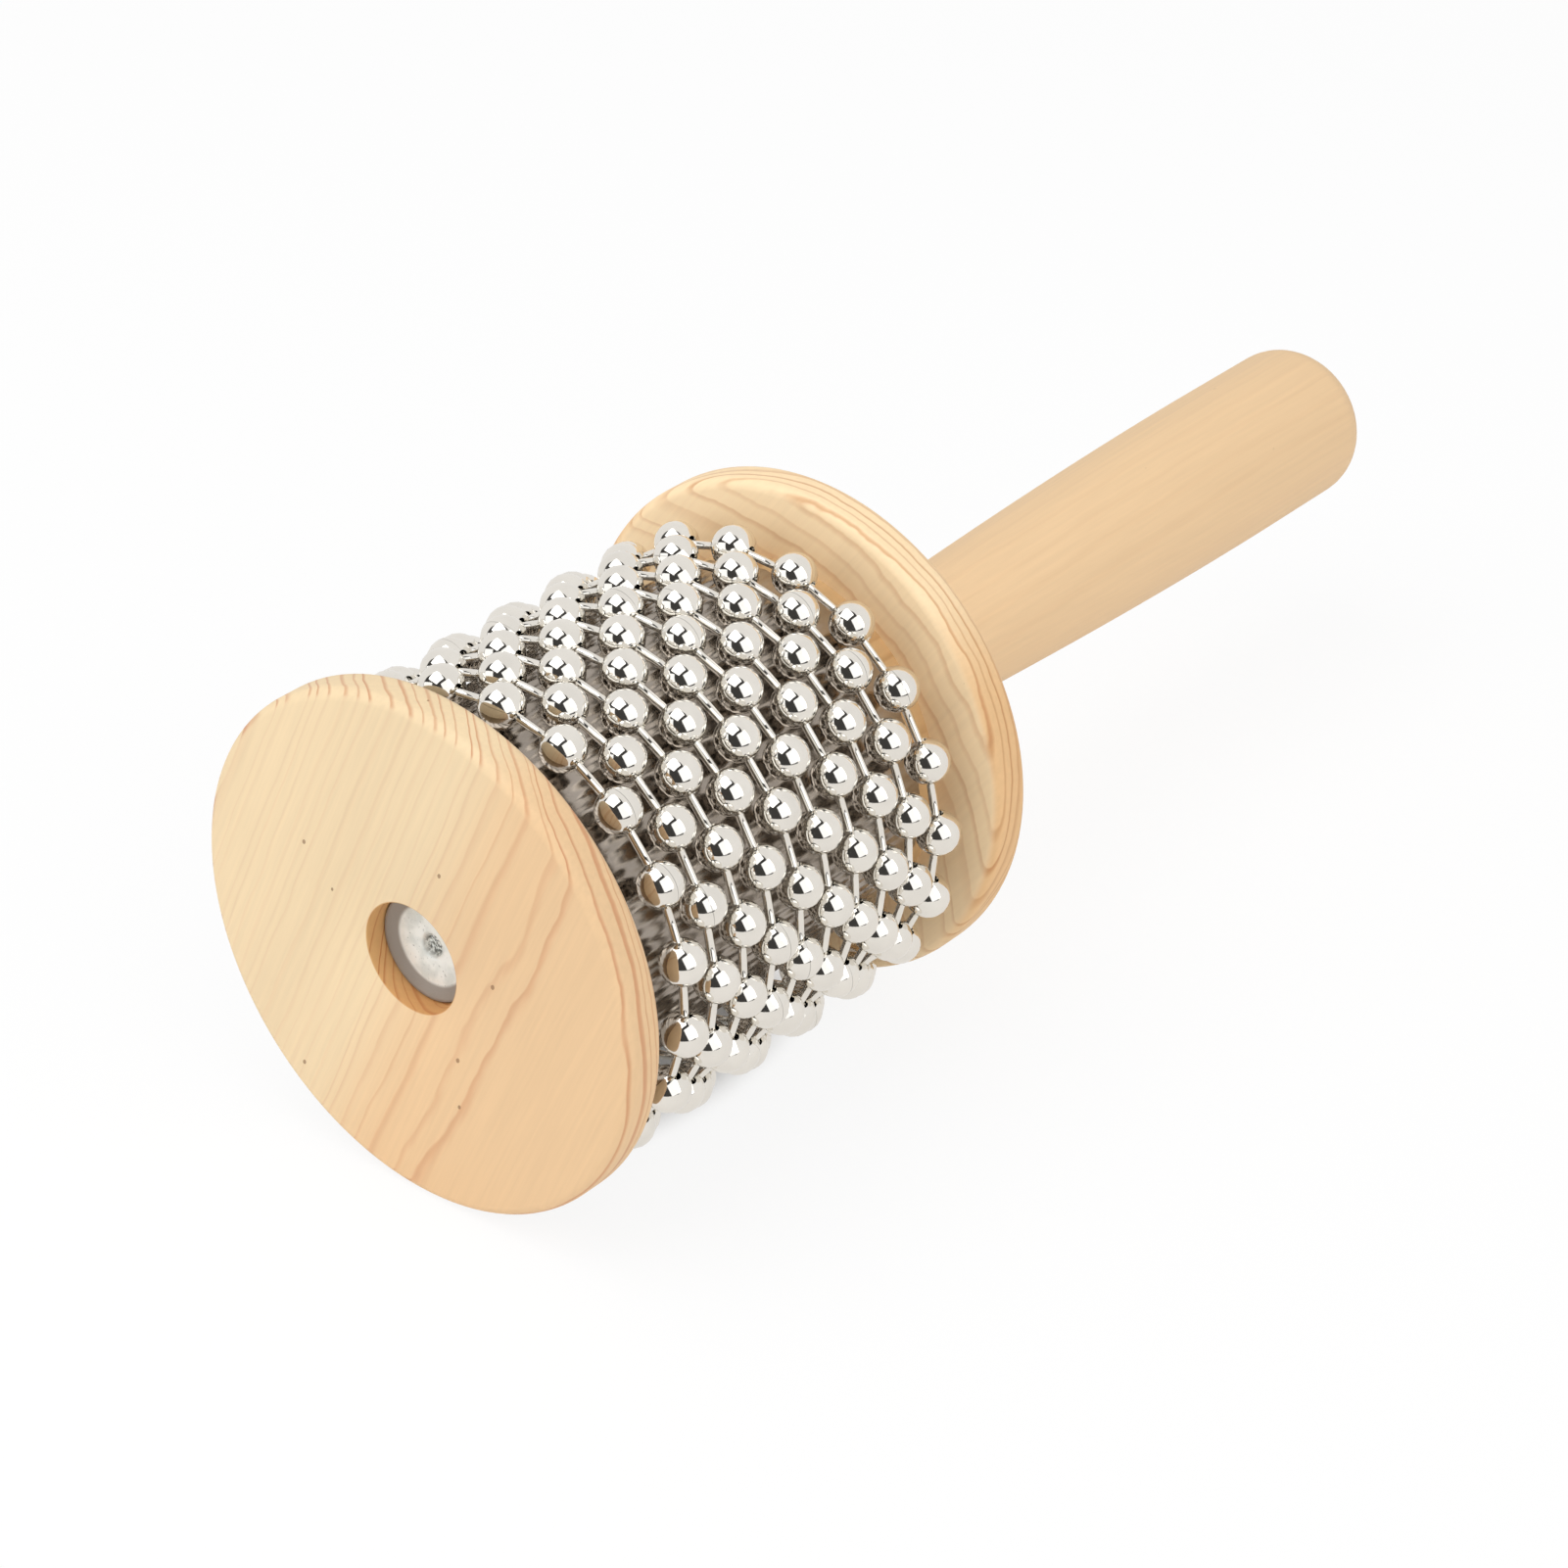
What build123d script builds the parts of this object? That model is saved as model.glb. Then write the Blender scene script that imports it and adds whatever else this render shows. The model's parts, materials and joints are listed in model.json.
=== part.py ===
from build123d import *

import math
import os

# Cabasa: a fluted steel drum between two wooden discs, wrapped in loose loops of ball chain.
# Its axis is the Y axis, with the front disc towards -Y and the handle towards +Y. The origin
# is the middle of the handle, where a hand holds it, and +Z is up. Sizes are in millimetres.

# Wooden discs
disc_diameter = 75.0
disc_thickness = 6.5
disc_edge_radius = 1.6

# Ball chain
bead_diameter = 6.4
bead_wall = 0.5
chain_pitch = 10.7
pin_diameter = 1.2
pin_clearance = 0.08
row_count = 10
row_spacing = 5.8
front_row_gap = 6.9
rear_row_gap = 4.0
front_row_turn = 3.5

# Fluted sleeve and the wooden core inside it
sleeve_diameter = 54.7
sheet_thickness = 0.4
flute_pitch = 2.05
flute_depth = 0.3
chain_to_sleeve = 0.32
sleeve_to_core = 0.1
sleeve_rear_gap = 4.5

# Turned handle and its tenon
handle_length = 127.8
handle_neck_diameter = 17.2
handle_belly_diameter = 24.7
handle_neck_slope = 0.06
handle_taper_length = 105.5
handle_end_corner_radius = 6.0
handle_end_corner_angle = 60.0
tenon_diameter = 14.0
tenon_length = 32.0
tenon_clearance = 0.1
tenon_end_room = 1.0

# Bolt that draws the discs, the core and the handle together
bolt_diameter = 6.0
bolt_length = 90.0
bolt_tip_length = 3.0
bolt_tip_diameter = 3.0
bolt_clearance = 0.2
pilot_clearance = 0.1
pilot_end_room = 3.0
bolt_head_diameter = 15.3
bolt_head_height = 1.5
bolt_head_sink = 3.1
bolt_head_rim = 0.3
bolt_dish_depth = 0.8
bolt_dish_slope_width = 1.6
bolt_recess_diameter = 3.8
bolt_recess_floor_diameter = 2.4
bolt_recess_depth = 0.9
counterbore_clearance = 0.25

# Radii
disc_radius = disc_diameter / 2
bead_radius = bead_diameter / 2
pin_radius = pin_diameter / 2
crest_radius = sleeve_diameter / 2
valley_radius = crest_radius - flute_depth
core_radius = valley_radius - sheet_thickness - sleeve_to_core
tenon_radius = tenon_diameter / 2
bolt_radius = bolt_diameter / 2
bolt_head_radius = bolt_head_diameter / 2

# Places along the axis, from the front face to the end of the handle
drum_length = front_row_gap + (row_count - 1) * row_spacing + bead_diameter + rear_row_gap
handle_shoulder = -handle_length / 2
handle_end = handle_length / 2
drum_rear = handle_shoulder - disc_thickness
drum_front = drum_rear - drum_length
front_face = drum_front - disc_thickness
tenon_end = handle_shoulder - tenon_length
bolt_rim = front_face + bolt_head_sink
bolt_seat = bolt_rim + bolt_head_height
bolt_tip = bolt_seat + bolt_length
first_row = drum_front + front_row_gap + bead_radius

# Each loop has the fewest links that go round the sleeve. What is left over is slack, so the
# loop rests on the top of the sleeve and its centre hangs below the drum's axis.
wrap_radius = crest_radius + chain_to_sleeve + bead_radius
link_count = math.ceil(math.pi / math.asin(chain_pitch / 2 / wrap_radius))
link_angle = 360 / link_count
loop_radius = chain_pitch / 2 / math.sin(math.pi / link_count)
loop_drop = loop_radius - wrap_radius

# A link pin runs along the chord between two beads, tilted from the bead's own hole, which is
# wide enough for that tilt. The head's centre is as far from the bead's middle plane, where
# the next pin's head begins, as from the rim of the hole that holds it in.
pin_tilt = math.pi / link_count
bead_bore_radius = bead_radius - bead_wall
bead_hole_radius = pin_radius / math.cos(pin_tilt) + bead_radius * math.sin(pin_tilt) + pin_clearance
bore_reach = math.sqrt(bead_bore_radius**2 - bead_hole_radius**2)
rim_along_pin = bore_reach * math.cos(pin_tilt) + bead_hole_radius * math.sin(pin_tilt)
head_seat = bead_bore_radius**2 / (2 * rim_along_pin)
pin_head_radius = head_seat * math.cos(pin_tilt) - pin_clearance
pin_half_length = chain_pitch / 2 - head_seat


def rod(radius, start, end):
    """A round bar on the Y axis between two places along it."""
    bar = Cylinder(radius, end - start, align=(Align.CENTER, Align.CENTER, Align.MIN))
    return Pos(0, start, 0) * Rot(-90, 0, 0) * bar


def turned(outline):
    """A piece turned on a lathe: an outline of radius and place, swept round the Y axis."""
    return revolve(make_face(outline), Axis.Y)


def wooden_disc(inner_face, outer_face):
    """A flat disc with both rims rounded over."""
    disc = rod(disc_radius, min(inner_face, outer_face), max(inner_face, outer_face))
    return fillet(disc.edges().filter_by(GeomType.CIRCLE), disc_edge_radius)


def front_disc():
    """The struck end: counterbored so that the bolt's head lies below the face."""
    counterbore = rod(bolt_head_radius + counterbore_clearance, front_face, bolt_seat)
    bolt_hole = rod(bolt_radius + bolt_clearance, bolt_seat, drum_front)
    return wooden_disc(drum_front, front_face) - counterbore - bolt_hole


def rear_disc():
    """The disc at the handle, bored through for the handle's tenon."""
    tenon_hole = rod(tenon_radius + tenon_clearance, drum_rear, handle_shoulder)
    return wooden_disc(drum_rear, handle_shoulder) - tenon_hole


def drum_core():
    """The wooden body of the drum, with the bolt's hole and the tenon's socket."""
    bolt_hole = rod(bolt_radius + bolt_clearance, drum_front, drum_rear)
    socket = rod(tenon_radius + tenon_clearance, tenon_end - tenon_end_room, drum_rear)
    return rod(core_radius, drum_front, drum_rear) - bolt_hole - socket


def wave_ring(crest, valley):
    """A closed wave of arcs round the axis, one crest and one valley to a flute."""
    flute_count = round(2 * math.pi * crest_radius / flute_pitch)
    quarter = 360 / flute_count / 4
    flank = (crest + valley) / 2
    arcs = []
    for flute in range(flute_count):
        turn = flute * 4 * quarter
        steps = [
            (flank, turn - quarter),
            (crest, turn),
            (flank, turn + quarter),
            (valley, turn + 2 * quarter),
            (flank, turn + 3 * quarter),
        ]
        points = [
            (radius * math.cos(math.radians(angle)), radius * math.sin(math.radians(angle)))
            for radius, angle in steps
        ]
        arcs.append(ThreePointArc(points[0], points[1], points[2]))
        arcs.append(ThreePointArc(points[2], points[3], points[4]))
    return Wire(arcs)


def fluted_sleeve():
    """Thin steel sheet, fluted along the drum and bent round the core. It ends below the last
    row of chain, short of the rear disc."""
    outside = wave_ring(crest_radius, valley_radius)
    inside = wave_ring(crest_radius - sheet_thickness, valley_radius - sheet_thickness)
    section = Face(outside, [inside])
    sheet = extrude(section, drum_length - sleeve_rear_gap)
    return Pos(0, drum_front, 0) * Rot(-90, 0, 0) * sheet


def handle():
    """A club-shaped handle: a slim neck that swells to a round end, and a tenon in front."""
    neck_radius = handle_neck_diameter / 2
    belly_radius = handle_belly_diameter / 2
    belly_start = handle_shoulder + handle_taper_length
    corner_turn = math.radians(handle_end_corner_angle)
    crown_edge = belly_radius - handle_end_corner_radius * (1 - math.cos(corner_turn))
    crown_radius = crown_edge / math.cos(corner_turn)
    crown_height = crown_radius * (1 - math.sin(corner_turn))
    crown_start = handle_end - crown_height
    dome_start = crown_start - handle_end_corner_radius * math.sin(corner_turn)
    dome_edge = (belly_radius, dome_start)
    corner = JernArc(dome_edge, (0, 1), handle_end_corner_radius, handle_end_corner_angle)
    crown = JernArc(corner @ 1, corner % 1, crown_radius, 90 - handle_end_corner_angle)
    outline = [
        Line((0, tenon_end), (tenon_radius, tenon_end)),
        Line((tenon_radius, tenon_end), (tenon_radius, handle_shoulder)),
        Line((tenon_radius, handle_shoulder), (neck_radius, handle_shoulder)),
        Spline(
            (neck_radius, handle_shoulder),
            (belly_radius, belly_start),
            tangents=((handle_neck_slope, 1), (0, 1)),
        ),
        Line((belly_radius, belly_start), dome_edge),
        corner,
        crown,
        Line((0, handle_end), (0, tenon_end)),
    ]
    pilot = rod(bolt_radius + pilot_clearance, tenon_end, bolt_tip + pilot_end_room)
    return turned(outline) - pilot


def centre_bolt():
    """A long screw with a broad dished head, driven by a small round recess."""
    dish_radius = bolt_head_radius - bolt_head_rim
    dish_floor = bolt_rim + bolt_dish_depth
    recess_floor = dish_floor + bolt_recess_depth
    outline = Polyline(
        (0, recess_floor),
        (bolt_recess_floor_diameter / 2, recess_floor),
        (bolt_recess_diameter / 2, dish_floor),
        (dish_radius - bolt_dish_slope_width, dish_floor),
        (dish_radius, bolt_rim),
        (bolt_head_radius, bolt_rim),
        (bolt_head_radius, bolt_seat),
        (bolt_radius, bolt_seat),
        (bolt_radius, bolt_tip - bolt_tip_length),
        (bolt_tip_diameter / 2, bolt_tip),
        (0, bolt_tip),
        close=True,
    )
    return turned(outline)


def chain_bead():
    """One hollow ball of the chain, with a hole at each end for the link pins."""
    hole = bead_hole_radius
    rim_reach = math.sqrt(bead_radius**2 - hole**2)
    outline = [
        ThreePointArc((-rim_reach, hole), (0, bead_radius), (rim_reach, hole)),
        Line((rim_reach, hole), (bore_reach, hole)),
        ThreePointArc((bore_reach, hole), (0, bead_bore_radius), (-bore_reach, hole)),
        Line((-bore_reach, hole), (-rim_reach, hole)),
    ]
    return revolve(make_face(outline), Axis.X)


def link_pin():
    """One dumbbell pin: a thin neck with a round head to sit inside the bead at each end."""
    neck_half = pin_half_length - math.sqrt(pin_head_radius**2 - pin_radius**2)
    tip = pin_half_length + pin_head_radius
    outline = [
        ThreePointArc((-tip, 0), (-pin_half_length, pin_head_radius), (-neck_half, pin_radius)),
        Line((-neck_half, pin_radius), (neck_half, pin_radius)),
        ThreePointArc((neck_half, pin_radius), (pin_half_length, pin_head_radius), (tip, 0)),
        Line((tip, 0), (-tip, 0)),
    ]
    return revolve(make_face(outline), Axis.X)


def round_loop(piece, radius, first_turn, place):
    """Copies of a chain piece, one to a link, round a loop at its place along the axis."""
    centre = Pos(0, place, -loop_drop)
    copies = []
    for link in range(link_count):
        turn = first_turn + link * link_angle
        copies.append(centre * Rot(0, turn, 0) * Pos(0, 0, radius) * piece)
    return Compound(copies)


def chain_rows():
    """The loops from front to rear, each half a link further round than the one before."""
    bead = chain_bead()
    pin = link_pin()
    rows = {}
    for row in range(row_count):
        place = first_row + row * row_spacing
        bead_turn = front_row_turn + (row % 2) * link_angle / 2
        pin_turn = bead_turn + link_angle / 2
        chord_radius = loop_radius * math.cos(pin_tilt)
        rows[f"chain_{row + 1:02d}_beads"] = round_loop(bead, loop_radius, bead_turn, place)
        rows[f"chain_{row + 1:02d}_pins"] = round_loop(pin, chord_radius, pin_turn, place)
    return rows


pieces = {
    "front_disc": front_disc(),
    "rear_disc": rear_disc(),
    "drum_core": drum_core(),
    "fluted_sleeve": fluted_sleeve(),
    "handle": handle(),
    "centre_bolt": centre_bolt(),
}
pieces.update(chain_rows())

os.makedirs("parts", exist_ok=True)
for name, piece in pieces.items():
    export_step(piece, f"parts/{name}.step")
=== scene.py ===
import json
import math
import random

import bpy
from mathutils import Matrix, Vector


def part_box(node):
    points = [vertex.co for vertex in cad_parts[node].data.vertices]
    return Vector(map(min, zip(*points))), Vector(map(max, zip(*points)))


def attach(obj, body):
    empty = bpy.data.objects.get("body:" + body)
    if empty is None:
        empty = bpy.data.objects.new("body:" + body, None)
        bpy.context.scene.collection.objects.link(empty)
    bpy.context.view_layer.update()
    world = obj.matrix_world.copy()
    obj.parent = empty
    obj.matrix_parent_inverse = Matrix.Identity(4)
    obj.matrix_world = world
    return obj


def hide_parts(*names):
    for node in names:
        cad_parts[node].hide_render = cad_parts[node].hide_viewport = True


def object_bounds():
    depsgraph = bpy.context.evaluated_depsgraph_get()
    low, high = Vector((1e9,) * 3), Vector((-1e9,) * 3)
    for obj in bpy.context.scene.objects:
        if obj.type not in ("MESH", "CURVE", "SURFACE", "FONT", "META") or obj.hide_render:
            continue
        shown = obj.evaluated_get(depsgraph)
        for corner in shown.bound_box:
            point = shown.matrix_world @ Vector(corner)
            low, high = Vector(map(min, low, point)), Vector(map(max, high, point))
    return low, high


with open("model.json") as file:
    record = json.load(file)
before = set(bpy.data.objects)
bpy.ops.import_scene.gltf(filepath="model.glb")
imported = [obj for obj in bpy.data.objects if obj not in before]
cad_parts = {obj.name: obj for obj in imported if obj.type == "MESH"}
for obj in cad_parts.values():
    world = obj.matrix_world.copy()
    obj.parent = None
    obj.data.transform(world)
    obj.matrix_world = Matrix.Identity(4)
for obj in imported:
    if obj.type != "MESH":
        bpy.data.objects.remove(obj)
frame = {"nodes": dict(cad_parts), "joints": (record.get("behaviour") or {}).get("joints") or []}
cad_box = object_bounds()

# Drum core: the block of softwood inside the drum, turned to a plain cylinder and drilled for
# the bolt and for the handle's tenon. Only the solid's own shape is needed, so it stays, and
# gets sawn wood for its finish.


def paint(red, green, blue):
    """A colour as it looks on a screen, 0 to 255, turned into the shader's linear values."""
    linear = []
    for part in (red, green, blue):
        share = part / 255
        linear.append(share / 12.92 if share <= 0.04045 else ((share + 0.055) / 1.055) ** 2.4)
    return (*linear, 1.0)


def step(tree, kind, *feeds, out=0, **settings):
    """Add one node, feed its inputs in order from values or other nodes, and give its output."""
    made = tree.nodes.new("ShaderNode" + kind)
    for key, value in settings.items():
        setattr(made, key, value)
    for socket, feed in zip(made.inputs, feeds):
        if isinstance(feed, bpy.types.NodeSocket):
            tree.links.new(feed, socket)
        elif feed is not None:
            socket.default_value = feed
    return made.outputs[out]


def ramp(tree, value, start, end, low=0.0, high=1.0):
    """A straight ramp of a value between two limits."""
    return step(tree, "MapRange", value, start, end, low, high)


def fade(tree, value, start, end, low=0.0, high=1.0):
    """A soft ramp of a value between two limits."""
    return step(tree, "MapRange", value, start, end, low, high, interpolation_type="SMOOTHSTEP")


def noise(tree, place, scale, detail, out=0):
    """A cloudy pattern round the value 0.5. With out=1 it gives three of them."""
    return step(tree, "TexNoise", place, None, scale, detail, out=out)


def drift(tree, place, scale, detail, width):
    """A cloudy push across the grain, by up to about half the width either way."""
    push = noise(tree, place, scale, detail, out=1)
    push = step(tree, "VectorMath", push, (0.5, 0.5, 0.5), operation="SUBTRACT")
    return step(tree, "VectorMath", push, (width, width, 0.0), operation="MULTIPLY")


def finish_of(name):
    """Start a finish: the material, its nodes and its shader."""
    finish = bpy.data.materials.new(name)
    finish.use_nodes = True
    return finish, finish.node_tree, finish.node_tree.nodes["Principled BSDF"]


def roughen(tree, shader, height, strength, depth):
    """Give a finish a fine relief that follows a height."""
    bump = tree.nodes.new("ShaderNodeBump")
    bump.inputs["Strength"].default_value = strength
    bump.inputs["Distance"].default_value = depth
    tree.links.new(height, bump.inputs["Height"])
    tree.links.new(bump.outputs["Normal"], shader.inputs["Normal"])


def softwood(
    name, turn, pith, ring_width, pale, warm, line, warm_from, warm_to, line_share, seed,
    lean=0.0, swing=0.005,
):
    """Pine or fir as it comes out of the log: growth rings round a pith that runs along the
    grain, pale early wood that darkens to a late line, fibres, and a few resin specks.

    The turn and the pith lay the log in the piece. Across the log the ground goes from pale to
    warm between two places, and the line's share is how strongly the rings are drawn. The lean
    is how steeply the log leans out of the board, and the swing is how far the rings sway."""
    wood, tree, shader = finish_of(name)
    place = step(tree, "TexCoord", out=3)
    log = step(tree, "Mapping", place, pith, turn, (1, 1, 1))
    across = step(tree, "SeparateXYZ", log)

    drawn_out = step(tree, "VectorMath", log, (1, 1, 0.09), operation="MULTIPLY")
    drawn_out = step(tree, "VectorMath", drawn_out, (seed, seed, seed), operation="ADD")
    sway = drift(tree, drawn_out, scale=38.0, detail=2.0, width=swing)
    bent = step(tree, "VectorMath", log, sway, operation="ADD")
    shortened = step(tree, "VectorMath", log, (1, 1, 0.3), operation="MULTIPLY")
    wander = drift(tree, shortened, scale=150.0, detail=3.0, width=0.0012)
    bent = step(tree, "VectorMath", bent, wander, operation="ADD")
    leaning = step(tree, "SeparateXYZ", log, out=2)
    leaning = step(tree, "VectorMath", leaning, (0, lean, 0), operation="MULTIPLY")
    bent = step(tree, "VectorMath", bent, leaning, operation="ADD")
    bent = step(tree, "VectorMath", bent, (1, 1, 0), operation="MULTIPLY")
    radius = step(tree, "VectorMath", bent, out=1, operation="LENGTH")

    unevenness = 1.8
    rings = step(tree, "Math", radius, ring_width, operation="DIVIDE")
    uneven = step(tree, "TexNoise", None, rings, 0.45, 1.0, noise_dimensions="1D")
    rings = step(tree, "Math", uneven, unevenness, rings, operation="MULTIPLY_ADD")
    year = step(tree, "Math", rings, operation="FLOOR")
    season = step(tree, "Math", rings, operation="FRACT")
    slow = fade(tree, season, 0.6, 0.9)
    stop = fade(tree, season, 0.9, 1.0, low=1.0, high=0.0)
    late = step(tree, "Math", slow, stop, operation="MINIMUM")
    good_year = step(tree, "TexWhiteNoise", None, year, noise_dimensions="1D")
    good_year = ramp(tree, good_year, 0.0, 1.0, low=0.5, high=1.0)
    late = step(tree, "Math", late, good_year, operation="MULTIPLY")

    ragged = 0.014
    wide = noise(tree, drawn_out, scale=60.0, detail=3.0)
    shifted = step(tree, "Math", wide, ragged, across, operation="MULTIPLY_ADD")
    heart = fade(tree, shifted, warm_from + ragged / 2, warm_to + ragged / 2)
    ground = step(tree, "MixRGB", heart, pale, warm)
    facing = step(tree, "SeparateXYZ", step(tree, "TexCoord", out=1), out=1)
    facing = step(tree, "Math", facing, operation="ABSOLUTE")
    on_rim = fade(tree, facing, 0.75, 0.99, low=1.0, high=0.0)
    on_face = ramp(tree, heart, 0.0, 1.0, low=line_share * 0.3, high=line_share)
    strength = ramp(tree, on_rim, 0.0, 1.0, low=on_face, high=min(line_share * 1.8, 1.0))
    line_strength = step(tree, "Math", late, strength, operation="MULTIPLY")
    ringed = step(tree, "MixRGB", line_strength, ground, line)

    fine = step(tree, "VectorMath", log, (1, 1, 0.035), operation="MULTIPLY")
    fibre = noise(tree, fine, scale=1500.0, detail=3.0)
    fibre_tone = ramp(tree, fibre, 0.3, 0.7, low=0.965, high=1.02)
    cloudy = ramp(tree, wide, 0.3, 0.7, low=0.965, high=1.025)
    tone = step(tree, "Math", fibre_tone, cloudy, operation="MULTIPLY")
    toned = step(tree, "MixRGB", 1.0, ringed, tone, blend_type="MULTIPLY")

    without_speck = 0.82
    cells = tree.nodes.new("ShaderNodeTexVoronoi")
    cells.inputs["Scale"].default_value = 300.0
    squeezed = step(tree, "VectorMath", log, (1, 1, 0.7), operation="MULTIPLY")
    tree.links.new(squeezed, cells.inputs["Vector"])
    pick_one = tree.nodes.new("ShaderNodeSeparateColor")
    tree.links.new(cells.outputs["Color"], pick_one.inputs["Color"])
    speck_size = ramp(tree, pick_one.outputs["Green"], 0.0, 1.0, low=0.03, high=0.1)
    near = step(tree, "Math", cells.outputs["Distance"], speck_size, operation="LESS_THAN")
    rare = step(tree, "Math", pick_one.outputs["Red"], without_speck, operation="GREATER_THAN")
    speck = step(tree, "Math", near, rare, operation="MULTIPLY")
    speck = step(tree, "Math", speck, min(line_share * 1.5, 0.65), operation="MULTIPLY")
    finished = step(tree, "MixRGB", speck, toned, paint(120, 78, 45))
    tree.links.new(finished, shader.inputs["Base Color"])

    rough = ramp(tree, late, 0.0, 1.0, low=0.52, high=0.4)
    rough = step(tree, "Math", fibre, 0.12, rough, operation="MULTIPLY_ADD")
    tree.links.new(rough, shader.inputs["Roughness"])
    height = step(tree, "Math", late, 0.15, fibre, operation="MULTIPLY_ADD")
    roughen(tree, shader, height, strength=0.12, depth=0.00025)
    shader.inputs["Specular IOR Level"].default_value = 0.32
    return wood


core_wood = softwood(
    "sawn_core_wood", turn=(math.radians(90), 0, 0), pith=(0.004, 0.012, 0), ring_width=0.0024,
    pale=paint(226, 196, 150), warm=paint(214, 176, 126), line=paint(176, 128, 80),
    warm_from=-0.01, warm_to=0.02, line_share=0.25, seed=3.0,
)
frame["nodes"]["drum_core"].material_slots[0].material = core_wood

# Fluted sleeve: a thin sheet of bright steel, pressed into narrow flutes along the drum and bent
# round the core, ending short of the rear disc. The chain is rubbed over the flutes for the sound.


def pick(piece):
    """Select one piece alone, and make it the one that is worked on."""
    bpy.ops.object.select_all(action="DESELECT")
    piece.select_set(True)
    bpy.context.view_layer.objects.active = piece


def shape(piece, wanted):
    """Open a piece for shaping with only those of its corners selected whose place is wanted."""
    pick(piece)
    bpy.ops.object.mode_set(mode="EDIT")
    bpy.ops.mesh.select_mode(type="VERT")
    bpy.ops.mesh.select_all(action="DESELECT")
    bpy.ops.object.mode_set(mode="OBJECT")
    for corner in piece.data.vertices:
        corner.select = wanted(corner.co)
    bpy.ops.object.mode_set(mode="EDIT")


def settle():
    """Put the place, turn and size of the selected pieces into their meshes."""
    bpy.ops.object.transform_apply(location=True, rotation=True, scale=True)


flute_count = 84
points_to_a_flute = 8
flute_depth = 0.00012
sheet = 0.0004
low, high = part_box("fluted_sleeve")
crest = high.x
sleeve_points = flute_count * points_to_a_flute
bpy.ops.object.select_all(action="DESELECT")
bpy.ops.mesh.primitive_cylinder_add(
    vertices=sleeve_points, radius=crest, depth=high.y - low.y, end_fill_type="NOTHING",
    location=(0, (low.y + high.y) / 2, 0), rotation=(math.radians(90), 0, 0),
)
sleeve = bpy.context.object
sleeve.name = "fluted_steel_sleeve"
settle()
for phase in range(1, points_to_a_flute):
    hollow = flute_depth * (1 - math.cos(2 * math.pi * phase / points_to_a_flute)) / 2

    def on_this_line(place):
        point = round(math.atan2(place.x, place.z) / (2 * math.pi) * sleeve_points)
        return point % points_to_a_flute == phase

    shape(sleeve, on_this_line)
    narrow = 1 - hollow / crest
    bpy.ops.transform.resize(value=(narrow, 1, narrow), center_override=(0, 0, 0))
    bpy.ops.object.mode_set(mode="OBJECT")
wall = sleeve.modifiers.new("sheet", "SOLIDIFY")
wall.thickness = sheet
wall.offset = -1
bpy.ops.object.modifier_apply(modifier="sheet")
bpy.ops.object.shade_smooth_by_angle(angle=math.radians(50))

sleeve_steel, tree, shader = finish_of("bright_fluted_steel")
place = step(tree, "TexCoord", out=3)
long_marks = step(tree, "Mapping", place, (0, 0, 0), (0, 0, 0), (1, 0.06, 1))
rolled = noise(tree, long_marks, scale=900.0, detail=3.0)
dulled = noise(tree, place, scale=120.0, detail=3.0)
steel_tone = ramp(tree, dulled, 0.3, 0.7)
# The steel's grey is kept darker than bright steel would be, partly as painted shade for the gaps
# between the beads.
steel_and_gap_shade_colour = step(tree, "MixRGB", steel_tone, paint(156, 147, 138), paint(174, 165, 156))
tree.links.new(steel_and_gap_shade_colour, shader.inputs["Base Color"])
shader.inputs["Metallic"].default_value = 1.0
steel_rough = ramp(tree, rolled, 0.3, 0.7, low=0.14, high=0.24)
tree.links.new(steel_rough, shader.inputs["Roughness"])
sleeve.data.materials.append(sleeve_steel)
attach(sleeve, "drum")
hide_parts("fluted_sleeve")

# Rear disc: a round of pine board, cut across its growth rings, its rims rounded over by hand. It
# is bored through, and the handle's tenon is glued into it. Its rim carries painted shade at the
# two sides, where the rim is darkened.


def turn_on_lathe(name, outline, steps):
    """Turn a piece round the Y axis. The outline lists radius and place along the axis."""
    bpy.ops.object.select_all(action="DESELECT")
    bpy.ops.mesh.primitive_plane_add(size=0.001, location=(outline[0][0], outline[0][1], 0))
    piece = bpy.context.object
    piece.name = name
    settle()
    bpy.ops.object.mode_set(mode="EDIT")
    bpy.ops.mesh.select_all(action="SELECT")
    bpy.ops.mesh.merge(type="CENTER")
    for (radius, along), (next_radius, next_along) in zip(outline, outline[1:]):
        way = (next_radius - radius, next_along - along, 0)
        bpy.ops.mesh.extrude_region_move(TRANSFORM_OT_translate={"value": way})
    bpy.ops.mesh.select_all(action="SELECT")
    bpy.ops.mesh.spin(steps=steps, angle=2 * math.pi, center=(0, 0, 0), axis=(0, 1, 0))
    bpy.ops.mesh.select_all(action="SELECT")
    bpy.ops.mesh.remove_doubles(threshold=0.000002)
    bpy.ops.mesh.select_all(action="SELECT")
    bpy.ops.mesh.normals_make_consistent(inside=False)
    bpy.ops.object.mode_set(mode="OBJECT")
    return piece


def round_over(piece, radius, along, width, segments):
    """Round over the ring edge of a turned piece at a radius and a place along the axis."""
    hair = 0.00002

    def on_edge(place):
        reach = math.hypot(place.x, place.z)
        return abs(reach - radius) < hair and abs(place.y - along) < hair

    shape(piece, on_edge)
    bpy.ops.mesh.bevel(offset=width, segments=segments, profile=0.5, affect="EDGES")
    bpy.ops.object.mode_set(mode="OBJECT")


def distance_off_axis(tree, place):
    """How far a place is from the axis that the discs and the bolt are turned round."""
    flat = step(tree, "VectorMath", place, (1, 0, 1), operation="MULTIPLY")
    return step(tree, "VectorMath", flat, out=1, operation="LENGTH")


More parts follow.
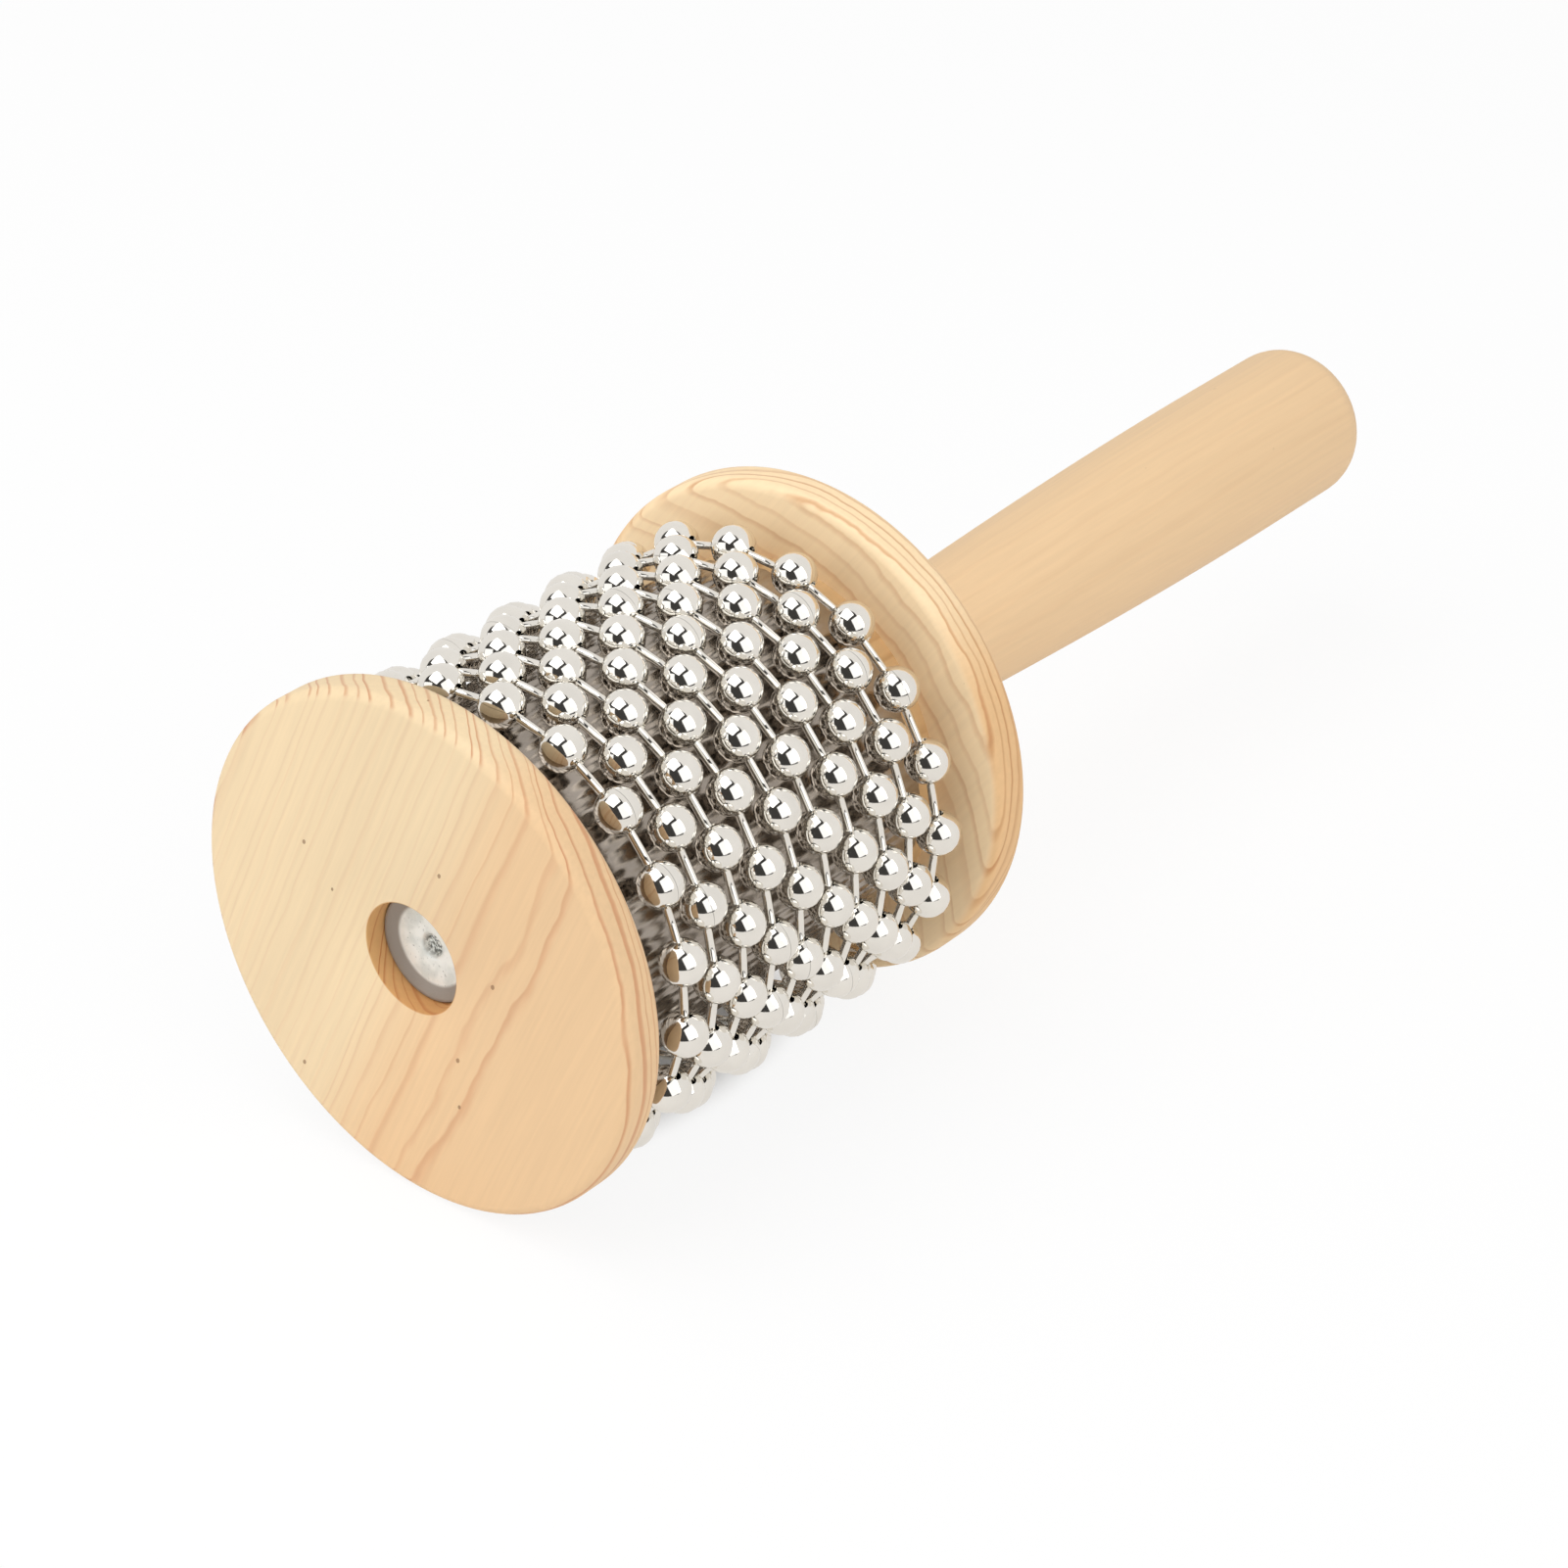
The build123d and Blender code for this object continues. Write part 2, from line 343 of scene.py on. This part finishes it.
def darken(tree, shader, where, tint):
    """Darken a finished wood with a tint, as far as a value says."""
    sawn = shader.inputs["Base Color"].links[0].from_socket
    tinted = step(tree, "MixRGB", 1.0, sawn, tint, blend_type="MULTIPLY")
    darkened = step(tree, "MixRGB", where, sawn, tinted)
    tree.links.new(darkened, shader.inputs["Base Color"])


disc_edge = 0.0016
edge_segments = 7
disc_steps = 160
tenon_bore = 0.0071
rear_face_ring = 0.02
low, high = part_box("rear_disc")
rear_outline = [
    (tenon_bore, low.y), (rear_face_ring, low.y), (high.x, low.y), (high.x, high.y),
    (rear_face_ring, high.y), (tenon_bore, high.y), (tenon_bore, low.y),
]
rear_disc = turn_on_lathe("rear_wooden_disc", rear_outline, disc_steps)
round_over(rear_disc, high.x, low.y, disc_edge, edge_segments)
round_over(rear_disc, high.x, high.y, disc_edge, edge_segments)
bpy.ops.object.shade_smooth_by_angle(angle=math.radians(40))
rear_wood = softwood(
    "flamed_pine", turn=(0, math.radians(-38), 0), pith=(0.0, -low.y - 0.094, 0),
    ring_width=0.0015,
    pale=paint(254, 227, 186), warm=paint(254, 226, 184), line=paint(204, 142, 88),
    warm_from=-0.07, warm_to=-0.03, line_share=0.42, seed=11.0, lean=-0.4, swing=0.0016,
)
tree = rear_wood.node_tree
shader = tree.nodes["Principled BSDF"]
place = step(tree, "TexCoord", out=3)
off_axis = distance_off_axis(tree, place)
# Painted shade: the rim is darkened at its two sides, standing in for the shade that falls there.
at_rim = fade(tree, off_axis, high.x - disc_edge, high.x - disc_edge / 4)
sideways = step(tree, "Math", step(tree, "SeparateXYZ", place), operation="ABSOLUTE")
at_side = fade(tree, sideways, high.x * 0.6, high.x * 0.95)
rim_side_painted_shade = step(tree, "Math", at_rim, at_side, operation="MULTIPLY")
darken(tree, shader, rim_side_painted_shade, paint(234, 216, 196))
rear_disc.data.materials.append(rear_wood)
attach(rear_disc, "drum")
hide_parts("rear_disc")

# Handle: turned from one pale stick on a lathe, slim at the disc and swelling to a rounded end,
# with a tenon in front that goes through the rear disc into the core. Sanded smooth, no varnish.
neck = 0.0086
belly = 0.01235
neck_slope = 0.06
taper = 0.1055
taper_marks = 20
corner = 0.006
corner_angle = math.radians(60)
corner_marks = 8
crown_marks = 6
tenon = 0.007
pilot = 0.0031
pilot_spare = 0.003
tenon_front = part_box("handle")[0].y
handle_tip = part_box("handle")[1].y
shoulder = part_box("rear_disc")[1].y
pilot_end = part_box("centre_bolt")[1].y + pilot_spare
handle_outline = [
    (0, pilot_end), (pilot, pilot_end), (pilot, tenon_front), (tenon, tenon_front),
    (tenon, shoulder), (neck, shoulder),
]
for mark in range(1, taper_marks + 1):
    share = mark / taper_marks
    swell = (belly - neck) * (3 * share**2 - 2 * share**3)
    flare = neck_slope * taper * share * (1 - share) ** 2
    handle_outline.append((neck + swell + flare, shoulder + taper * share))
crown_edge = belly - corner * (1 - math.cos(corner_angle))
crown = crown_edge / math.cos(corner_angle)
crown_height = crown * (1 - math.sin(corner_angle))
dome_start = handle_tip - crown_height - corner * math.sin(corner_angle)
for mark in range(corner_marks + 1):
    angle = corner_angle * mark / corner_marks
    along = dome_start + corner * math.sin(angle)
    handle_outline.append((belly - corner * (1 - math.cos(angle)), along))
for mark in range(1, crown_marks + 1):
    angle = corner_angle + (math.pi / 2 - corner_angle) * mark / crown_marks
    along = handle_tip - crown * (1 - math.sin(angle))
    handle_outline.append((crown * math.cos(angle), along))
handle_outline[-1] = (0, handle_tip)
handle = turn_on_lathe("turned_handle", handle_outline, steps=72)
bpy.ops.object.shade_smooth_by_angle(angle=math.radians(40))
handle_wood = softwood(
    "sanded_pale_wood", turn=(math.radians(90), 0, 0), pith=(0.019, 0.011, 0), ring_width=0.0031,
    pale=paint(242, 210, 168), warm=paint(238, 204, 161), line=paint(222, 177, 129),
    warm_from=-0.01, warm_to=0.03, line_share=0.07, seed=23.0,
)
handle.data.materials.append(handle_wood)
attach(handle, "drum")
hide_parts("handle")

# Front disc: the same round of pine board as the rear one, counterbored in the middle for the
# bolt's head. Its face is cut nearly along the rings on one side, so the lines spread out there.
counterbore = 0.0079
counterbore_depth = 0.0046
counterbore_edge = 0.0002
bolt_hole = 0.0032
front_face_ring = 0.022
low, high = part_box("front_disc")
bolt_seat = low.y + counterbore_depth
front_outline = [
    (bolt_hole, bolt_seat), (counterbore, bolt_seat), (counterbore, low.y),
    (front_face_ring, low.y), (high.x, low.y), (high.x, high.y), (front_face_ring, high.y),
    (bolt_hole, high.y), (bolt_hole, bolt_seat),
]
front_disc = turn_on_lathe("front_wooden_disc", front_outline, disc_steps)
round_over(front_disc, high.x, low.y, disc_edge, edge_segments)
round_over(front_disc, high.x, high.y, disc_edge, edge_segments)
round_over(front_disc, counterbore, low.y, counterbore_edge, 2)
bpy.ops.object.shade_smooth_by_angle(angle=math.radians(40))
front_wood = softwood(
    "close_ringed_pine", turn=(0, math.radians(-26), 0), pith=(-0.029, -low.y - 0.0506, 0),
    ring_width=0.0014,
    pale=paint(240, 215, 175), warm=paint(234, 198, 154), line=paint(200, 130, 88),
    warm_from=-0.036, warm_to=-0.020, line_share=0.46, seed=5.0,
)
tree = front_wood.node_tree
shader = tree.nodes["Principled BSDF"]
off_axis = distance_off_axis(tree, step(tree, "TexCoord", out=3))
bore_from, bore_to = counterbore + 0.00005, counterbore + 0.00025
in_bore = fade(tree, off_axis, bore_from, bore_to, low=1.0, high=0.0)
darken(tree, shader, in_bore, paint(230, 202, 166))
front_disc.data.materials.append(front_wood)
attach(front_disc, "drum")
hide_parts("front_disc")

# Centre bolt: a long steel screw with a broad dished head, dull with zinc. It lies deep in the
# counterbore and draws the front disc, the core and the handle together.
head_radius = 0.00765
head_rim = 0.0003
head_thickness = 0.0015
dish_slope = 0.0016
dish_depth = 0.0008
recess_top = 0.0019
recess_floor = 0.0012
recess_depth = 0.0009
shank = 0.003
point_length = 0.003
low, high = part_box("centre_bolt")
dish_edge = head_radius - head_rim
dish_foot = dish_edge - dish_slope
dish_floor = low.y + dish_depth
head_back = low.y + head_thickness
bolt_outline = [
    (0, dish_floor + recess_depth), (recess_floor, dish_floor + recess_depth),
    (recess_top, dish_floor), (dish_foot, dish_floor), (dish_edge, low.y), (head_radius, low.y),
    (head_radius, head_back), (shank, head_back), (shank, high.y - point_length),
    (shank / 2, high.y), (0, high.y),
]
bolt = turn_on_lathe("zinc_centre_bolt", bolt_outline, steps=64)
round_over(bolt, dish_foot, dish_floor, width=0.0004, segments=3)
round_over(bolt, dish_edge, low.y, width=0.0001, segments=2)
round_over(bolt, recess_top, dish_floor, width=0.0003, segments=3)
bpy.ops.object.shade_smooth_by_angle(angle=math.radians(30))

bolt_zinc, tree, shader = finish_of("dull_mottled_zinc")
place = step(tree, "TexCoord", out=3)
mottle = noise(tree, place, scale=420.0, detail=4.0)
pits = noise(tree, place, scale=2600.0, detail=2.0)
clean = fade(tree, mottle, 0.36, 0.6)
zinc_colour = step(tree, "MixRGB", clean, paint(228, 232, 227), paint(250, 252, 247))
pitted = fade(tree, pits, 0.24, 0.36)
zinc_colour = step(tree, "MixRGB", pitted, paint(182, 184, 180), zinc_colour)
off_axis = distance_off_axis(tree, place)
# Painted shade: the sloping wall of the dish is painted a darker grey than the zinc round it.
dish_wall_painted_shade = fade(tree, off_axis, dish_foot - 0.0003, dish_foot + 0.0003)
zinc_colour = step(tree, "MixRGB", dish_wall_painted_shade, zinc_colour, paint(156, 148, 139))
in_recess = fade(tree, off_axis, recess_floor, recess_top, low=1.0, high=0.0)
grimed = step(tree, "Math", in_recess, fade(tree, pits, 0.35, 0.6), operation="MULTIPLY")
zinc_colour = step(tree, "MixRGB", grimed, zinc_colour, paint(112, 114, 108))
tree.links.new(zinc_colour, shader.inputs["Base Color"])
shader.inputs["Metallic"].default_value = 0.3
zinc_rough = ramp(tree, mottle, 0.3, 0.7, low=0.55, high=0.36)
tree.links.new(zinc_rough, shader.inputs["Roughness"])
roughen(tree, shader, pits, strength=0.25, depth=0.0002)
bolt.data.materials.append(bolt_zinc)
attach(bolt, "drum")
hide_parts("centre_bolt")

# Chain beads: hollow balls pressed from thin sheet, bright nickel plated, with a hole at each end
# and a fine seam where the sheet closes. Nineteen of them make a loop round the drum.
links = 19
rows = 10
bead_radius = 0.0032
pole_place = bead_radius * 0.99
hole_place = bead_radius * 0.95
hole_closing = (1.003, 0.9, 0.9)
hole_lip = 0.0005
cavity_rings = ((0.00035, 2.35), (0.00105, 1.486))
cavity_middle = 0.0013
cavity_radius = 0.0027
pitch = 0.0107
row_step = 0.0058
first_turn = math.radians(3.5)
link_turn = 2 * math.pi / links
links_shifted = 7
loop_radius = pitch / 2 / math.sin(math.pi / links)
loop_low, loop_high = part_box("chain_01_beads")
first_row = (loop_low.y + loop_high.y) / 2
loop_height = frame["joints"][0]["pos_m"][2]
nickel = paint(244, 241, 235)
bpy.ops.object.select_all(action="DESELECT")
bpy.ops.mesh.primitive_uv_sphere_add(
    segments=24, ring_count=12, radius=bead_radius, rotation=(0, math.radians(90), 0),
)
bead = bpy.context.object
bead.name = "chain_bead"
settle()
shape(bead, lambda place: abs(place.x) > pole_place)
bpy.ops.mesh.delete(type="VERT")
bpy.ops.object.mode_set(mode="OBJECT")
for side in (1, -1):
    shape(bead, lambda place: place.x * side > hole_place)
    bpy.ops.transform.resize(value=hole_closing, center_override=(0, 0, 0))
    for deeper, wider in ((hole_lip, 1), *cavity_rings):
        inwards = (-deeper * side, 0, 0)
        bpy.ops.mesh.extrude_region_move(TRANSFORM_OT_translate={"value": inwards})
        bpy.ops.transform.resize(value=(1, wider, wider), center_override=(0, 0, 0))
    bpy.ops.object.mode_set(mode="OBJECT")


def in_cavity(place):
    """Whether a corner is on the wall inside a bead, near its middle."""
    return abs(place.x) < cavity_middle and math.hypot(place.y, place.z) < cavity_radius


shape(bead, in_cavity)
bpy.ops.mesh.bridge_edge_loops()
bpy.ops.mesh.select_all(action="SELECT")
bpy.ops.mesh.normals_make_consistent(inside=False)
bpy.ops.object.mode_set(mode="OBJECT")
bpy.ops.object.shade_smooth_by_angle(angle=math.radians(60))


def plated(name, tone, seam):
    """Bright nickel plate over steel, a little cloudy, with a fine seam along a bead."""
    plate, tree, shader = finish_of(name)
    shader.inputs["Metallic"].default_value = 1.0
    place = step(tree, "TexCoord", out=3)
    cloud = noise(tree, place, scale=260.0, detail=3.0)
    scuffs = noise(tree, place, scale=1900.0, detail=4.0)
    cloud_tone = ramp(tree, cloud, 0.3, 0.7)
    darker = [part * 0.93 for part in tone[:3]] + [1.0]
    colour = step(tree, "MixRGB", cloud_tone, darker, tone)
    rough = ramp(tree, scuffs, 0.35, 0.75, low=0.045, high=0.12)
    if seam:
        round_place = step(tree, "SeparateXYZ", step(tree, "TexCoord", out=2))
        from_seam = step(tree, "Math", round_place, 0.5, operation="SUBTRACT")
        from_seam = step(tree, "Math", from_seam, operation="ABSOLUTE")
        on_seam = fade(tree, from_seam, 0.002, 0.005, low=0.35, high=0.0)
        colour = step(tree, "MixRGB", on_seam, colour, paint(60, 54, 48))
    tree.links.new(colour, shader.inputs["Base Color"])
    tree.links.new(rough, shader.inputs["Roughness"])
    return plate


bead_nickel = plated("bright_bead_nickel", nickel, seam=True)
bead.data.materials.append(bead_nickel)


def copy_of(piece):
    """A copy of a piece with its own mesh, selected alone."""
    pick(piece)
    bpy.ops.object.duplicate(linked=False)
    return bpy.context.object


def ring_of(piece, name, radius, turn, rolls, drifts):
    """Copy one link piece round a loop on the Y axis and join the copies."""
    copies = []
    for link in range(links):
        copy = copy_of(piece)
        angle = turn + link * link_turn
        copy.location = (radius * math.sin(angle), drifts[link], radius * math.cos(angle))
        copy.rotation_euler = (rolls[link], angle, 0)
        copies.append(copy)
    pick(copies[0])
    for copy in copies:
        copy.select_set(True)
    settle()
    bpy.ops.object.join()
    ring = bpy.context.object
    ring.name = name
    return ring


def lay_rows(ring, kind):
    """Copy a finished loop to each row, every other one half a link further round. Each row is
    also shifted by some links, so that neighbours don't show the same balls side by side."""
    for row in range(rows):
        loop = copy_of(ring)
        loop.name = f"ball_chain_{row + 1:02d}_{kind}"
        half_link = (row % 2) * link_turn / 2
        loop.rotation_euler = (0, half_link + links_shifted * row * link_turn, 0)
        loop.location = (0, first_row + row * row_step, loop_height)
        settle()
        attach(loop, f"chain_{row + 1:02d}")
        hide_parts(f"chain_{row + 1:02d}_{kind}")


chance = random.Random(19)
most_drift = 0.0002
bead_rolls = [chance.uniform(0, 2 * math.pi) for link in range(links)]
bead_drifts = [chance.uniform(-most_drift, most_drift) for link in range(links)]
bead_ring = ring_of(bead, "bead_loop", loop_radius, first_turn, bead_rolls, bead_drifts)
lay_rows(bead_ring, "beads")
bpy.data.objects.remove(bead_ring)
bpy.data.objects.remove(bead)

# Link pins: short wires with a round head upset at each end. A head sits inside each bead and
# can't pass its hole, so the pins hold the beads of a loop together.
pin_radius = 0.0006
head = 0.00131
head_inset = 0.00141
head_marks = 4
head_step = 28
head_place = pitch / 2 - head_inset
neck_end = head_place - math.sqrt(head**2 - pin_radius**2)
pin_outline = [(0, -head_place - head)]
for mark in range(1, head_marks + 1):
    angle = math.radians(-90 + head_step * mark)
    pin_outline.append((head * math.cos(angle), -head_place + head * math.sin(angle)))
pin_outline.append((pin_radius, -neck_end))
pin_outline += [(radius, -along) for radius, along in reversed(pin_outline)]
pin = turn_on_lathe("link_pin", pin_outline, steps=10)
pin.rotation_euler = (0, 0, math.radians(90))
settle()
bpy.ops.object.shade_smooth_by_angle(angle=math.radians(60))
pin_nickel = plated("bright_pin_nickel", nickel, seam=False)
pin.data.materials.append(pin_nickel)
next_drifts = bead_drifts[1:] + bead_drifts[:1]
pin_drifts = [(here + there) / 2 for here, there in zip(bead_drifts, next_drifts)]
chord_radius = loop_radius * math.cos(math.pi / links)
pin_turn = first_turn + link_turn / 2
pin_ring = ring_of(pin, "pin_loop", chord_radius, pin_turn, [0.0] * links, pin_drifts)
lay_rows(pin_ring, "pins")
bpy.data.objects.remove(pin_ring)
bpy.data.objects.remove(pin)

# Studio: a white table under the instrument, in shade right below the drum, three large softboxes
# to the left, the right and above, the dark room between them that bright metal mirrors, and a
# white background.


def sideways_at(azimuth):
    """The level direction to the right of someone who looks at the object from an angle."""
    turn = math.radians(azimuth)
    return Vector((math.cos(turn), math.sin(turn), 0))


def towards(azimuth, elevation):
    """The direction seen at an angle round the object from its front and one above the floor."""
    turn, lift = math.radians(azimuth), math.radians(elevation)
    level = math.cos(lift)
    return Vector((math.sin(turn) * level, -math.cos(turn) * level, math.sin(lift)))


scene = bpy.context.scene
scene.view_settings.view_transform = "Standard"
middle = (cad_box[0] + cad_box[1]) / 2
drum_middle = Vector((0, first_row + row_step * (rows - 1) / 2, 0))
white = (1, 1, 1, 1)

shade_width = 0.014
shade_length = 0.028
own_light = 0.87
seen_light = 1.01
mirrored_loss = 0.15
bpy.ops.object.select_all(action="DESELECT")
bpy.ops.mesh.primitive_circle_add(
    vertices=96, radius=0.42, fill_type="NGON", location=(middle.x, middle.y, cad_box[0].z),
)
table = bpy.context.object
table.name = "white_table"
settle()
white_table, tree, shader = finish_of("white_table")
tree.nodes.remove(shader)
seen = tree.nodes.new("ShaderNodeLightPath").outputs
shown = step(tree, "Math", seen["Is Camera Ray"], seen["Is Glossy Ray"], operation="ADD")
shown = step(tree, "Math", shown, seen["Is Transmission Ray"], operation="ADD")
shown = step(tree, "Math", shown, own_light, operation="MULTIPLY", use_clamp=True)
place = step(tree, "TexCoord", out=3)
from_drum = step(tree, "VectorMath", place, tuple(drum_middle), operation="SUBTRACT")
shade_size = (1 / shade_width, 1 / shade_length, 0)
from_drum = step(tree, "VectorMath", from_drum, shade_size, operation="MULTIPLY")
from_drum = step(tree, "VectorMath", from_drum, out=1, operation="LENGTH")
open_table = fade(tree, from_drum, 0.6, 1.3, low=0.1, high=1.0)
shown = step(tree, "Math", shown, open_table, operation="MULTIPLY")
paper = step(tree, "BsdfDiffuse", (0.9, 0.9, 0.9, 1))
brightness = step(
    tree, "Math", seen["Is Glossy Ray"], -mirrored_loss, seen_light, operation="MULTIPLY_ADD",
)
glow_colour = step(tree, "MixRGB", seen["Is Glossy Ray"], white, (1, 0.97, 0.93, 1))
glow = step(tree, "Emission", glow_colour, brightness)
surface = step(tree, "MixShader", shown, paper, glow)
tree.links.new(surface, tree.nodes["Material Output"].inputs["Surface"])
table.data.materials.append(white_table)

softboxes = [
    ("left_softbox", -28, 12, 30, 1.0, 0.92, 1.15),
    ("right_softbox", 77, 28, 10, 1.14, 1.38, 1.17),
    ("top_softbox", -27, 66, 11, 1.16, 0.98, 1.9),
]
softbox_distance = 1.2
for name, azimuth, elevation, roll, width, height, brightness in softboxes:
    lamp = bpy.data.lights.new(name, "AREA")
    lamp.shape = "RECTANGLE"
    lamp.size = width
    lamp.size_y = height
    lamp.energy = brightness * math.pi * width * height
    box = bpy.data.objects.new(name, lamp)
    scene.collection.objects.link(box)
    away = towards(azimuth, elevation)
    level = sideways_at(azimuth)
    facing = Matrix((level, away.cross(level), away)).transposed()
    facing = facing @ Matrix.Rotation(math.radians(roll), 3, "Z")
    stand = Matrix.Translation(drum_middle + away * softbox_distance)
    box.matrix_world = stand @ facing.to_4x4()

room_light = (0.5, 0.5, 0.5, 1)
pale_walls = (0.87, 0.853, 0.83, 1)
dark_walls = (0.05, 0.048, 0.046, 1)
behind_camera = tuple(towards(5, 30))
beside_camera = tuple(towards(60, 0))
studio = bpy.data.worlds.new("studio")
scene.world = studio
studio.use_nodes = True
tree = studio.node_tree
seen = tree.nodes.new("ShaderNodeLightPath").outputs
way = step(tree, "TexCoord", out=0)
behind = step(tree, "VectorMath", way, behind_camera, out=1, operation="DOT_PRODUCT")
behind = fade(tree, behind, 0.46, 0.5)
beside = step(tree, "VectorMath", way, beside_camera, out=1, operation="DOT_PRODUCT")
beside = fade(tree, beside, 0.82, 0.85)
dark_room = step(tree, "Math", behind, beside, operation="MAXIMUM")
above_floor = fade(tree, step(tree, "SeparateXYZ", way, out=2), -0.24, -0.2)
dark_room = step(tree, "Math", dark_room, above_floor, operation="MULTIPLY")
mirrored = step(tree, "MixRGB", dark_room, pale_walls, dark_walls)
plain = step(tree, "MixRGB", seen["Is Glossy Ray"], room_light, mirrored)
sky = step(tree, "MixRGB", seen["Is Camera Ray"], plain, white)
tree.links.new(sky, tree.nodes["Background"].inputs["Color"])

# Camera: a long lens about half a metre away, above and to the right of the front disc, as in the
# photograph. Its place is counted from the middle of the front disc's face.
view_azimuth = 39.43
view_elevation = 30.86
aside, above, away = 0.048, 0.0225, 0.5366
back = towards(view_azimuth, view_elevation)
right = sideways_at(view_azimuth)
up = back.cross(right)
front_centre = Vector((0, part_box("front_disc")[0].y, 0))
eye = front_centre + right * aside + up * above + back * away
lens = bpy.data.cameras.new("camera")
lens.lens = 95.79
lens.sensor_width = 36
lens.clip_start = 0.01
camera = bpy.data.objects.new("camera", lens)
scene.collection.objects.link(camera)
turned = Matrix((right, up, back)).transposed()
camera.matrix_world = Matrix.Translation(eye) @ turned.to_4x4()
scene.camera = camera
